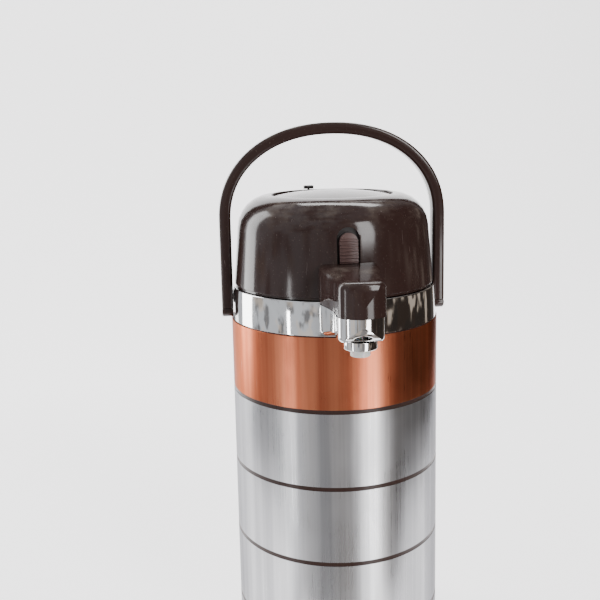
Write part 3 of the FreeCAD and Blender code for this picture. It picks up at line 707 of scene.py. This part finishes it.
def make_lid():
    """The lid with its thumb piece's pocket, the spout's way, the hinge's way and the lock's slot."""
    lid = lathe("lid_cover", lid_outline())
    pocket = arch("pocket", LATCH_HIGH.x + LATCH_POCKET_GAP, LATCH_LOW.z - 1.4 * MM,
                  LATCH_HIGH.z + 3.6 * MM,
                  60 * MM, 90 * MM)
    cut_away(lid, pocket)
    cut_away(lid, block("spout_way", (-16 * MM, -80 * MM, 280 * MM), (16 * MM, -69 * MM, 306 * MM)))
    cut_away(lid, block("knuckle_way", (-12.2 * MM, 71 * MM, 286 * MM), (12.2 * MM, 80 * MM, 291.2 * MM)))
    cut_away(lid, lock_slot())
    smooth(lid, 32)
    fit(lid, "lid_shell")


def make_push_plate():
    """The crowned cap that is pressed, with its flange and a hollow boss."""
    top = PLATE_HIGH.z
    rim = PLATE_R - 1.6 * MM
    drop = 3.9 * MM
    dome_r = (rim * rim + drop * drop) / (2 * drop)
    steps = 10
    dome = [(rim * index / steps, top - dome_r + math.sqrt(dome_r ** 2 - (rim * index / steps) ** 2))
            for index in range(steps + 1)]
    low = PLATE_LOW.z
    outline = [(0.0, top - 3 * MM)] + dome
    outline += [(PLATE_R, top - drop - 0.2 * MM, 1.0 * MM), (PLATE_R, low + 2 * MM),
                (PLATE_HIGH.x, low + 2 * MM),
                (PLATE_HIGH.x, low), (PLATE_R - 2.4 * MM, low), (PLATE_R - 2.4 * MM, top - 6 * MM, 2 * MM),
                (12 * MM, top - 3.2 * MM), (12 * MM, 343.6 * MM), (9.8 * MM, 343.6 * MM),
                (9.8 * MM, top - 3 * MM)]
    plate = lathe("push_plate_cap", outline)
    fit(plate, "push_plate")


# the spout

def section(half, low, high, corner, station, bow, share, top_round=True):
    """A ring across the spout: square on one edge, round on the other, bowed forward in the middle."""
    if top_round:
        corners = [(-half, low), (-half, high, corner), (half, high, corner), (half, low)]
    else:
        corners = [(half, high), (half, low, corner), (-half, low, corner), (-half, high)]
    ring = []
    for across, up in rounded(corners):
        drop = bow - math.sqrt(max(bow * bow - across * across, 0.0))
        ring.append((across, -(station - share * drop), up))
    return ring


def hood_rings(inset):
    """Stations of the hood: forward distance, half width, top, corner, share of the bow."""
    wall = inset * MM
    bottom = HOOD_LOW.z - (2 * MM if inset else 0)
    stations = [(66.0, 20.5, 312.6, 4.4, 0.0), (74.0, 20.5, 312.5, 4.4, 0.0), (79.0, 20.1, 312.2, 4.5, 0.0),
                (85.0, 18.9, 311.8, 4.6, 0.0), (92.0, 17.2, 311.4, 4.7, 0.0), (99.0, 15.8, 310.9, 4.6, 0.1),
                (106.0, 15.1, 310.5, 4.5, 0.3), (113.0, 15.0, 310.1, 4.4, 0.6),
                (120.0, 15.0, 309.6, 4.3, 0.9),
                (124.6, 15.0, 309.2, 4.3, 1.0), (126.4, 14.75, 308.9, 4.1, 1.0),
                (127.5, 14.1, 308.2, 3.8, 1.0),
                (128.0, 13.1, 307.2, 3.4, 1.0)]
    rings = []
    for station, half, top, corner, share in stations:
        rings.append(section(half * MM - wall, bottom, top * MM - wall, corner * MM * 0.999,
                             station * MM - wall, HOOD_BOW, share))
    for half, top in ((9.5, 303.5), (5.5, 299.0), (1.5, 294.0)):
        rings.append(section(half * MM, bottom, top * MM, 1.2 * MM, 128.0 * MM - wall, HOOD_BOW, 1.0))
    return rings


def make_hood():
    """The hollow hood over the spout, cut to meet the leaning lid."""
    hood = loft("spout_hood_cover", hood_rings(0))
    cut_away(hood, loft("hood_inside", hood_rings(2.2)))
    leaning = lathe("lid_side",
                    [(0.0, 280 * MM), (LID_FOOT_R + 0.65 * MM, 280 * MM), (LID_EDGE[0], LID_EDGE[1]),
                                 (0.0, LID_EDGE[1])])
    cut_away(hood, leaning)
    smooth(hood, 38)
    fit(hood, "spout_hood")


def trough_rings(stations, bow, inset):
    """Stations of the trough: forward distance, half width, bottom, corner, share of the bow."""
    wall = inset * MM
    top = CHIN_HIGH.z + (2 * MM if inset else 0)
    rings = []
    for station, half, low, corner, share in stations:
        rings.append(section(half * MM - wall, low * MM + wall, top, corner * MM, station * MM, bow, share,
                             False))
    return rings


CHIN_STATIONS = [(72.0, 20.9, 265.4, 3.0, 0.0), (77.0, 20.3, 265.5, 3.0, 0.0),
                 (81.0, 19.2, 266.0, 3.0, 0.0),
                 (86.0, 17.7, 267.3, 3.0, 0.0), (91.0, 16.5, 268.9, 2.9, 0.0),
                 (96.0, 15.6, 270.1, 2.8, 0.0),
                 (100.9, 15.05, 270.6, 2.6, 0.0)]
CUP_STATIONS = [(101.0, 15.0, 270.5, 2.6, 0.0), (108.0, 15.0, 270.5, 2.6, 0.25),
                (115.0, 15.0, 270.5, 2.6, 0.6),
                (120.5, 15.0, 270.5, 2.6, 0.88), (123.4, 14.95, 270.6, 2.6, 1.0),
                (124.7, 14.6, 271.1, 2.4, 1.0),
                (125.3, 13.9, 271.9, 2.2, 1.0), (125.5, 12.9, 272.9, 1.9, 1.0)]


def make_spout_trough():
    """The chrome trough from the collar, and the cup round the outlet."""
    chin = loft("spout_chin_trough", trough_rings(CHIN_STATIONS, CUP_BOW, 0))
    inside = list(CHIN_STATIONS)
    inside[0] = (CHIN_STATIONS[0][0] - 2.0, *CHIN_STATIONS[0][1:])
    inside[-1] = (CHIN_STATIONS[-1][0] + 2.0, *CHIN_STATIONS[-1][1:])
    cut_away(chin, loft("chin_inside", trough_rings(inside, CUP_BOW, 1.8)))
    cone = lathe("collar_side",
                 [(0.0, 262 * MM), (77.0 * MM, 262 * MM), (COLLAR_HIGH_R, COLLAR_HIGH.z),
                  (0.0, COLLAR_HIGH.z)])
    cut_away(chin, cone)
    smooth(chin, 38)
    fit(chin, "spout_chin")

    rings = trough_rings(CUP_STATIONS, CUP_BOW, 0)
    for half, low in ((9.0, 275.5), (5.0, 278.5), (1.5, 281.0)):
        rings.append(section(half * MM, low * MM, CUP_HIGH.z, 1.2 * MM, 125.5 * MM, CUP_BOW, 1.0, False))
    cup = loft("nozzle_cup_shell", rings)
    cutter = lathe("cup_inside",
                   [(0.0, 272.3 * MM), (12.6 * MM, 272.3 * MM, 2 * MM), (12.6 * MM, 290 * MM),
                    (0.0, 290 * MM)],
                   (0.0, NOZZLE.y))
    cut_away(cup, cutter)
    cut_away(cup, block("cup_back", (-13.2 * MM, -112 * MM, 272.3 * MM), (13.2 * MM, -99 * MM, 290 * MM)))
    cut_away(cup,
             lathe("tip_hole",
                   [(0.0, 255 * MM), (TIP_HIGH.x, 255 * MM), (TIP_HIGH.x, 276 * MM), (0.0, 276 * MM)],
                        (0.0, NOZZLE.y)))
    smooth(cup, 38)
    fit(cup, "nozzle_cup")


def make_nozzle():
    """The ring under the cup and the hollow tip."""
    ring = lathe("outlet_ring", [(TIP_HIGH.x, RING_LOW.z, 0.3 * MM), (RING_HIGH.x, RING_LOW.z, 1.0 * MM),
                                 (RING_HIGH.x, RING_HIGH.z), (TIP_HIGH.x, RING_HIGH.z)], (0.0, NOZZLE.y),
                                 96)
    fit(ring, "nozzle_ring")
    bore = 3.5 * MM
    tip = lathe("outlet_tip",
                [(bore, TIP_LOW.z, 0.5 * MM), (TIP_HIGH.x, TIP_LOW.z, 0.8 * MM), (TIP_HIGH.x, TIP_HIGH.z),
                               (4.5 * MM, TIP_HIGH.z), (4.5 * MM, 266 * MM), (bore, 266 * MM)],
                               (0.0, NOZZLE.y), 72)
    fit(tip, "nozzle_tip")


# the latch and the lock

def make_latch():
    """The thumb piece: an arched slab whose front is a row of round ribs."""
    low, high = LATCH_LOW.z, LATCH_HIGH.z
    face = 73.1 * MM
    rib = 1.1 * MM
    pitch = 2.3 * MM
    count = 7
    corners = [(68.0 * MM, low), (face, low, 0.4 * MM)]
    for index in range(count):
        base = low + 0.9 * MM + index * pitch
        corners += [(face, base), (face + rib, base + 0.35 * MM, 0.3 * MM),
                    (face + rib, base + 1.25 * MM, 0.3 * MM),
                    (face, base + 1.6 * MM)]
    corners += [(face + 0.2 * MM, high - 3.2 * MM, 1 * MM), (face - 0.6 * MM, high, 0.6 * MM),
                (68.0 * MM, high)]
    half = LATCH_HIGH.x
    slab = prism("latch_thumb_piece", corners, lambda a, b: (-half, -a, b), (2 * half, 0, 0))
    keep_inside(slab, arch("latch_arch", half - 0.02 * MM, low - 1 * MM, high, 60 * MM, 80 * MM))
    lean = math.atan((LID_FOOT_R - LID_EDGE[0]) / (LID_EDGE[1] - LID_LOW.z))
    middle = Vector((0, -71.5 * MM, (low + high) / 2))
    turn = Matrix.Translation(middle) @ Matrix.Rotation(-lean, 4, "X") @ Matrix.Translation(-middle)
    slab.matrix_world = turn
    freeze(slab)
    cut_away(slab, block("behind", (-10 * MM, -67.9 * MM, 300 * MM), (10 * MM, -60 * MM, 340 * MM)))
    apply_modifier(slab, "BEVEL", width=0.18 * MM, segments=2, limit_method="ANGLE",
                   angle_limit=math.radians(50))
    smooth(slab, 40)
    fit(slab, "latch_slider")
    # The thumb piece takes the lighter rib copy of the brown plastic, a painted highlight.
    paint(slab, "thumb_ribs")


def make_lock_knob():
    """The knob's head on its stem: a merged copy of its CAD mesh, shaded smooth."""
    knob = nodes["lock_knob"].copy()
    knob.data = knob.data.copy()
    bpy.context.scene.collection.objects.link(knob)
    knob.name = "lock_knob_button"
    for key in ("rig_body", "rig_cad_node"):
        if key in knob:
            del knob[key]
    knob.parent = None
    tidy_mesh(knob)
    smooth(knob, 40)
    fit(knob, "lock_knob")


# the handle

def handle_spot(turn, half, top):
    """A point of the handle's middle line; turn runs from 0 at the right arm to pi at the left."""
    across = math.cos(turn)
    x = half * math.copysign(abs(across) ** (2 / HANDLE_POWER), across)
    z = HANDLE_BEND + (top - HANDLE_BEND) * math.sin(turn) ** (2 / HANDLE_POWER)
    return Vector((x, 0, z))


def handle_line():
    """The middle line of the handle from the top of one end cap to the other."""
    half = BAIL_HIGH.x - HANDLE_THICK / 2
    top = BAIL_HIGH.z - HANDLE_THICK / 2
    start = CAPS_HIGH.z
    arm = [Vector((half, 0, start + (HANDLE_BEND - start) * index / 4)) for index in range(4)]
    bend = [handle_spot(math.pi * index / 72, half, top) for index in range(73)]
    bend[36] = Vector((0, 0, top))
    return arm + bend + [Vector((-spot.x, 0, spot.z)) for spot in reversed(arm)]


def make_handle():
    """The carrying handle: a rounded bar led round its middle line."""
    wide = HANDLE_THICK / 2
    deep = (BAIL_HIGH.y - BAIL_LOW.y) / 2
    spots = handle_line()
    shape = rounded([(wide, -deep, HANDLE_CORNER), (wide, deep, HANDLE_CORNER),
                     (-wide, deep, HANDLE_CORNER), (-wide, -deep, HANDLE_CORNER)], 4)
    rings = []
    for index, spot in enumerate(spots):
        before = spots[max(index - 1, 0)]
        after = spots[min(index + 1, len(spots) - 1)]
        along = (after - before).normalized()
        if index in (0, len(spots) - 1):
            along = Vector((0, 0, 1 if index == 0 else -1))
        outward = Vector((along.z, 0, -along.x))
        rings.append([tuple(spot + outward * a + Vector((0, b, 0))) for a, b in shape])
    bail = loft("carrying_handle", rings)
    smooth(bail, 40)
    fit(bail, "handle_bail")


def make_end_caps():
    """The closing pieces at the feet of the arms."""
    low, high = CAPS_LOW.z, CAPS_HIGH.z
    deep = CAPS_HIGH.y
    caps = []
    for side in (-1, 1):
        inner = side * (CAPS_HIGH.x - HANDLE_THICK)
        corners = [(-deep, high - 0.15 * MM), (-deep, low, 5 * MM), (deep, low, 5 * MM),
                   (deep, high - 0.15 * MM)]
        cap = prism("cap", corners, lambda a, b, inner=inner: (inner, a, b), (side * HANDLE_THICK, 0, 0))
        apply_modifier(cap, "BEVEL", width=1.3 * MM, segments=4, limit_method="ANGLE",
                       angle_limit=math.radians(60))
        caps.append(cap)
    pair = join("handle_foot_caps", caps)
    tidy_mesh(pair)
    smooth(pair, 40)
    fit(pair, "handle_end_caps")


# inside the lid

def coil_path(radius, low, high, turns, centre, per_turn=24):
    spots = []
    for index in range(turns * per_turn + 1):
        turn = math.tau * index / per_turn
        share = index / (turns * per_turn)
        spots.append((centre[0] + radius * math.cos(turn), centre[1] + radius * math.sin(turn),
                      low + (high - low) * share))
    return spots


def coil(name, radius, wire, low, high, turns, centre):
    """A round wire wound upward about an upright line."""
    spots = coil_path(radius, low + wire, high - wire, turns, centre)
    middle = Vector((centre[0], centre[1], 0))
    rings = []
    for index, spot in enumerate(spots):
        along = (Vector(spots[min(index + 1, len(spots) - 1)]) - Vector(spots[max(index - 1,
                                                                                  0)])).normalized()
        outward = Vector(spot) - middle
        outward.z = 0
        outward.normalize()
        side = along.cross(outward).normalized()
        rings.append([tuple(Vector(spot) + wire * (math.cos(turn) * outward + math.sin(turn) * side))
                      for turn in (math.tau * step / 8 for step in range(8))])
    made = loft(name, rings)
    smooth(made, 60)
    return made


def make_springs():
    low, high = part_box("bellows_spring")
    wire = 0.9 * MM
    spring = coil("bellows_return_spring", high.x - wire, wire, low.z, high.z - 0.1 * MM, 7, (0.0, 0.0))
    fit(spring, "bellows_spring")
    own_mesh(spring)
    low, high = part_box("latch_spring")
    wire = 0.2 * MM
    centre = ((low.x + high.x) / 2, (low.y + high.y) / 2)
    spring = coil("latch_return_spring", (high.x - low.x) / 2 - wire, wire, low.z + 0.1 * MM, high.z, 4,
                  centre)
    fit(spring, "latch_spring")
    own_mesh(spring)


def make_bellows():
    """The pleated rubber pump, a thin zigzag wall."""
    low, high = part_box("bellows")
    pleats = 8
    depth = 4.4 * MM
    wall = 0.9 * MM
    bottom = low.z + 0.1 * MM
    rise = (high.z - low.z - 0.4 * MM) / pleats
    outer = []
    for index in range(pleats):
        outer.append((high.x - depth, bottom + index * rise, 0.5 * MM if index else 0))
        outer.append((high.x - 0.05 * MM, bottom + (index + 0.5) * rise, 0.5 * MM))
    outer.append((high.x - depth, bottom + pleats * rise))
    inner = [(r - wall, z, radius if index not in (0, 2 * pleats) else 0)
             for index, (r, z, radius) in enumerate((spot + (0,))[:3] for spot in outer)]
    pump = lathe("pleated_pump", outer + inner[::-1], steps=96)
    smooth(pump, 40)
    fit(pump, "bellows")
    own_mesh(pump)


make_casing()
make_collar()
make_base()
make_lid()
make_push_plate()
make_hood()
make_spout_trough()
make_nozzle()
make_latch()
make_lock_knob()
make_handle()
make_end_caps()
make_springs()
make_bellows()

for cad_name, cad_object in nodes.items():
    paint(cad_object, NODE_SLOT[cad_name])


# the stage: a pale floor that curves up behind, soft lights and the camera

def make_stage():
    """A roll of pale paper: a table top in front that sweeps up into a wall."""
    half = 0.95
    front = -0.14
    narrow = 0.36
    far = 1.5
    bend = 0.8
    line = [(-half, front, 0)]
    for step in range(25):
        turn = math.radians(90) * step / 24
        line.append((-half, far - bend + bend * math.sin(turn), bend - bend * math.cos(turn)))
    line.append((-half, far, 2.2))
    sweep = chain("pale_sweep", line, closed=False)
    editing(sweep)
    bpy.ops.mesh.extrude_region_move(TRANSFORM_OT_translate={"value": (2 * half, 0, 0)})
    bpy.ops.mesh.select_all(action="SELECT")
    bpy.ops.mesh.normals_make_consistent(inside=False)
    bpy.ops.mesh.select_all(action="DESELECT")
    object_mode()
    for vertex in sweep.data.vertices:
        share = min(max((vertex.co.y - front) / (far - front), 0.0), 1.0)
        vertex.co.x *= narrow + (1 - narrow) * share
    smooth(sweep, 60)
    material, tree, shader = new_material("pale_paper", Roughness=0.9, Emission_Strength=2.0)
    place = object_place(tree)
    paper = blend_colours(tree, noise(tree, place, 3.0), (0.84, 0.83, 0.835), (0.87, 0.865, 0.87))
    tree.links.new(paper, shader.inputs["Base Color"])
    tree.links.new(paper, shader.inputs["Emission Color"])
    sweep.data.materials.append(material)


def area_light(name, azimuth, distance, low, high, width, power, colour=(1, 1, 1)):
    """A soft window. Azimuth 0 is in front of the spout and grows to the right."""
    light = bpy.data.lights.new(name, "AREA")
    light.shape = "RECTANGLE"
    light.size = width
    light.size_y = high - low
    light.energy = power
    light.color = colour
    obj = bpy.data.objects.new(name, light)
    bpy.context.scene.collection.objects.link(obj)
    angle = math.radians(azimuth)
    place = Vector((math.sin(angle) * distance, -math.cos(angle) * distance, (low + high) / 2))
    obj.location = place
    aim = Vector((0, 0, 0.25)) - place
    aim.z *= 0.4
    obj.rotation_euler = aim.to_track_quat("-Z", "Y").to_euler()
    return obj


def make_world():
    """A room that is bright to the left and overhead and dark in front and to the right."""
    world = bpy.data.worlds.new("soft_room")
    world.use_nodes = True
    tree = world.node_tree
    way = node(tree, "ShaderNodeSeparateXYZ")
    tree.links.new(node(tree, "ShaderNodeTexCoord").outputs["Generated"], way.inputs[0])
    left = maths(tree, "MULTIPLY", between(tree, way.outputs["X"], 0.35, -0.8), 0.75)
    over = maths(tree, "MULTIPLY", between(tree, way.outputs["Z"], 0.35, 0.9), 0.5)
    plain = blend_colours(tree, maths(tree, "ADD", left, over, clamp=True), (0.26, 0.24, 0.23),
                          (0.9, 0.94, 1.0))
    shaded = blend_colours(tree, between(tree, way.outputs["X"], 0.45, 0.8), plain, (0.035, 0.028, 0.024))
    around = way.inputs[0].links[0].from_socket
    lamps = maths(tree, "MULTIPLY", between(tree, noise(tree, around, 6.0, 2.0), 0.56, 0.64), 0.55)
    things = maths(tree, "MULTIPLY", between(tree, noise(tree, around, 4.5, 5.0), 0.50, 0.58), 0.7)
    furnished = blend_colours(tree, things, shaded, (0.045, 0.032, 0.025))
    tone = blend_colours(tree, lamps, furnished, (0.95, 0.80, 0.66))
    room = tree.nodes["Background"]
    tree.links.new(tone, room.inputs["Color"])
    room.inputs["Strength"].default_value = 0.9
    seen = node(tree, "ShaderNodeBackground")
    seen.inputs["Color"].default_value = (0.86, 0.855, 0.86, 1.0)
    seen.inputs["Strength"].default_value = 2.3
    mixed = node(tree, "ShaderNodeMixShader")
    tree.links.new(node(tree, "ShaderNodeLightPath").outputs["Is Camera Ray"], mixed.inputs[0])
    tree.links.new(room.outputs[0], mixed.inputs[1])
    tree.links.new(seen.outputs[0], mixed.inputs[2])
    tree.links.new(mixed.outputs[0], tree.nodes["World Output"].inputs["Surface"])
    bpy.context.scene.world = world


def make_lights():
    """A window each side, each with a lower part that only the upright metal mirrors, and one above."""
    area_light("window_right_front", 31.5, 2.2, 0.52, 2.0, 0.72, 34)
    area_light("lower_right_front", 30, 2.2, -1.5, 0.02, 0.72, 22)
    area_light("window_left", -120, 2.0, -0.4, 1.9, 0.75, 42)
    area_light("strip_left_front", -58, 2.4, -1.4, 0.12, 0.13, 8)
    area_light("overhead", 160, 0.9, 1.9, 2.3, 1.4, 22)


def make_camera():
    """The camera, slightly left of the spout, above the lid and looking a little down."""
    camera = bpy.data.cameras.new("studio_camera")
    camera.sensor_width = 36.0
    camera.lens = 49.16
    camera.shift_y = -0.075
    camera.dof.use_dof = False
    obj = bpy.data.objects.new("studio_camera", camera)
    bpy.context.scene.collection.objects.link(obj)
    place = Vector((-90.5, -605.9, 402.0)) * MM
    heading = math.radians(6.17)
    pitch = math.radians(8.723)
    roll = math.radians(1.195)
    forward = Vector((math.sin(heading) * math.cos(pitch), math.cos(heading) * math.cos(pitch),
                      -math.sin(pitch)))
    right = Vector((math.cos(heading), -math.sin(heading), 0))
    up = right.cross(forward)
    level_right = right * math.cos(roll) - up * math.sin(roll)
    level_up = up * math.cos(roll) + right * math.sin(roll)
    turn = Matrix((level_right, level_up, -forward)).transposed()
    obj.matrix_world = Matrix.Translation(place) @ turn.to_4x4()
    bpy.context.scene.camera = obj


make_stage()
make_world()
make_lights()
make_camera()
